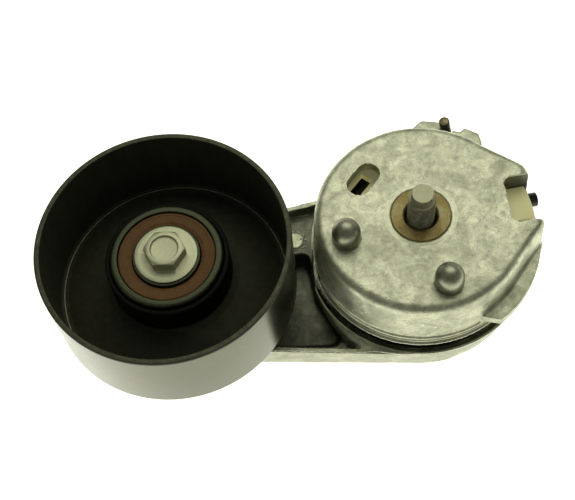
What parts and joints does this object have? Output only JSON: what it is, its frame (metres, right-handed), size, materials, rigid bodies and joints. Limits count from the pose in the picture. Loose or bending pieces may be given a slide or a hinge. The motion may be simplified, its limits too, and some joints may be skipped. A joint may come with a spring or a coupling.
{
  "type": "belt tensioner idler",
  "caption": "Spring-loaded belt tensioner: a cast spring case with a through bolt and dowels, a swinging arm and a deep steel idler pulley on a sealed ball bearing.",
  "frame": {"origin": "on the pivot axis, in the plane of the mounting face", "axes": "+Z along the pivot axis out of the mounting face, towards the engine; the arm and its pulley lie along -X"},
  "size_m": [0.1838, 0.0935, 0.0621],
  "materials": {
    "cast_aluminium": "satin as-cast aluminium",
    "dowel_steel": "ground steel",
    "yellow_zinc": "turned steel with yellow zinc",
    "black_nylon": "matt black nylon",
    "bronze": "sintered bronze",
    "bolt_steel": "zinc plated thread",
    "pin_steel": "dark drawn steel with a bright cut end",
    "spring_steel": "dark coated spring wire",
    "cream_nylon": "moulded nylon",
    "pulley_steel": "polished belt face, black coated inside",
    "bearing_steel": "ground bearing steel",
    "ball_steel": "polished",
    "brown_rubber": "moulded brown rubber",
    "zinc_flake": "matt zinc flake coating"
  },
  "bodies": {
    "case": {"spring_case": "cast_aluminium", "locating_dowel_1": "dowel_steel", "locating_dowel_2": "dowel_steel", "pivot_tube": "yellow_zinc", "retaining_washer": "yellow_zinc", "thrust_washer": "black_nylon", "torsion_spring": "spring_steel", "spring_seat": "cream_nylon"},
    "mounting_bolt": {"mounting_bolt": "bolt_steel"},
    "lock_pin": {"lock_pin": "pin_steel"},
    "arm": {"arm": "cast_aluminium", "pivot_bushing": "bronze", "friction_ring": "black_nylon", "bearing_inner_ring": "bearing_steel", "pulley_spacer": "bearing_steel", "pulley_bolt": "zinc_flake"},
    "pulley": {"pulley_shell": "pulley_steel", "bearing_outer_ring": "bearing_steel", "front_seal": "brown_rubber", "rear_seal": "brown_rubber"},
    "ball_set": {"ball_cage": "black_nylon", "bearing_ball_1": "ball_steel", "bearing_ball_2": "ball_steel", "bearing_ball_3": "ball_steel", "bearing_ball_4": "ball_steel", "bearing_ball_5": "ball_steel", "bearing_ball_6": "ball_steel", "bearing_ball_7": "ball_steel", "bearing_ball_8": "ball_steel"}
  },
  "joints": [
    {"name": "arm_pivot", "type": "hinge", "parent": "case", "child": "arm", "pos_m": [0, 0, -0.02], "axis": [0, 0, 1], "range_deg": [0, 50], "stiffness_Nm_per_rad": 18, "springref_deg": -51.57},
    {"name": "pulley_spin", "type": "hinge", "parent": "arm", "child": "pulley", "pos_m": [-0.0923, 0, 0.0005], "axis": [0, 0, 1], "continuous": true},
    {"name": "ball_set_spin", "type": "hinge", "parent": "arm", "child": "ball_set", "pos_m": [-0.0923, 0, 0.0005], "axis": [0, 0, 1], "continuous": true},
    {"name": "mounting_bolt_turn", "type": "hinge", "parent": "case", "child": "mounting_bolt", "pos_m": [0, 0, -0.02], "axis": [0, 0, 1], "continuous": true},
    {"name": "lock_pin_pull", "type": "slide", "parent": "case", "child": "lock_pin", "axis": [-0.1736, 0, 0.9848], "range_m": [0, 0.02]}
  ],
  "couplings": [
    {"joint": "ball_set_spin", "follows": "pulley_spin", "ratio": 0.6184}
  ]
}
